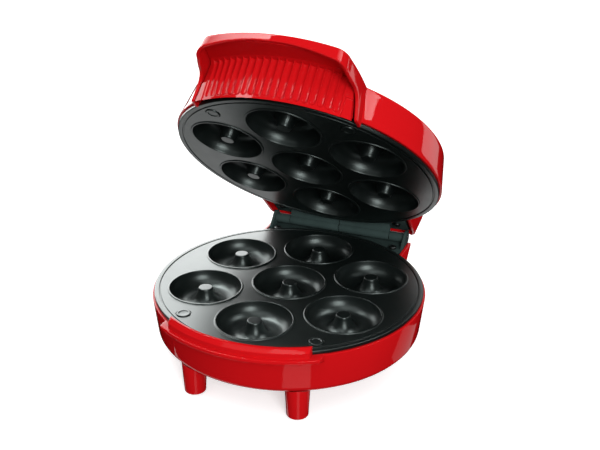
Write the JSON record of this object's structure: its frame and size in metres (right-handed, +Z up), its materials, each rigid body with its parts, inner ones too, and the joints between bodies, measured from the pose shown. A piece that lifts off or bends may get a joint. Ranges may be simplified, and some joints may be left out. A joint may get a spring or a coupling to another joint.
{
  "type": "donut maker",
  "caption": "Round countertop donut maker on short legs, its hinged lid raised to show ring-shaped baking cavities in both plates and a fluted front grip.",
  "frame": {"origin": "on the table, under the middle of the whole appliance with its lid open as modelled", "axes": "+Z up from the table, -Y towards the front where the grip and the ledge are, +X to the right as seen from the front, along the hinge pin"},
  "size_m": [0.206, 0.2558, 0.2534],
  "materials": {
    "red_plastic": "smooth high-gloss moulded plastic",
    "non_stick_coating": "satin black non-stick coating on cast aluminium",
    "hinge_enamel": "satin black coated steel",
    "zinc_steel": "zinc-plated steel",
    "element_steel": "dull sheathed heating tube",
    "shield_sheet": "plain rolled sheet",
    "black_rubber": "matt moulded rubber",
    "thermostat_brass": "stamped cap, satin",
    "ceramic": "unglazed white ceramic",
    "board_green": "circuit board laminate",
    "red_lens": "translucent red lens",
    "green_lens": "translucent green lens",
    "brown_insulation": "silicone-covered lead",
    "blue_insulation": "silicone-covered lead"
  },
  "bodies": {
    "base": {"base_housing": "red_plastic", "leg_front_left": "red_plastic", "leg_front_right": "red_plastic", "leg_rear_left": "red_plastic", "leg_rear_right": "red_plastic", "foot_pad_front_left": "black_rubber", "foot_pad_front_right": "black_rubber", "foot_pad_rear_left": "black_rubber", "foot_pad_rear_right": "black_rubber", "leg_screw_front_left": "zinc_steel", "leg_screw_front_right": "zinc_steel", "leg_screw_rear_left": "zinc_steel", "leg_screw_rear_right": "zinc_steel", "lower_plate": "non_stick_coating", "lower_heating_element": "element_steel", "lower_heat_shield": "shield_sheet", "lower_shield_screw_1": "zinc_steel", "lower_shield_screw_2": "zinc_steel", "lower_shield_screw_3": "zinc_steel", "thermostat": "thermostat_brass", "thermal_fuse": "ceramic", "terminal_block": "ceramic", "cord_gland": "black_rubber", "live_lead": "brown_insulation", "neutral_lead": "blue_insulation", "thermostat_lead": "brown_insulation", "fuse_lead": "blue_insulation", "lower_hinge_bracket": "hinge_enamel", "hinge_pin": "zinc_steel", "lower_hinge_screw_left": "zinc_steel", "lower_hinge_screw_right": "zinc_steel"},
    "lid": {"lid_housing": "red_plastic", "handle_grip": "red_plastic", "upper_plate": "non_stick_coating", "upper_heating_element": "element_steel", "upper_heat_shield": "shield_sheet", "upper_shield_screw_1": "zinc_steel", "upper_shield_screw_2": "zinc_steel", "upper_shield_screw_3": "zinc_steel", "upper_hinge_bracket": "hinge_enamel", "lamp_board": "board_green", "power_lamp_lens": "red_lens", "ready_lamp_lens": "green_lens", "lid_lead_left": "brown_insulation", "lid_lead_right": "blue_insulation", "upper_hinge_screw_left": "zinc_steel", "upper_hinge_screw_right": "zinc_steel"}
  },
  "joints": [
    {"name": "lid_hinge", "type": "hinge", "parent": "base", "child": "lid", "pos_m": [0, 0.09455, 0.0565], "axis": [-1, 0, 0], "range_deg": [-44.6, 50]}
  ]
}
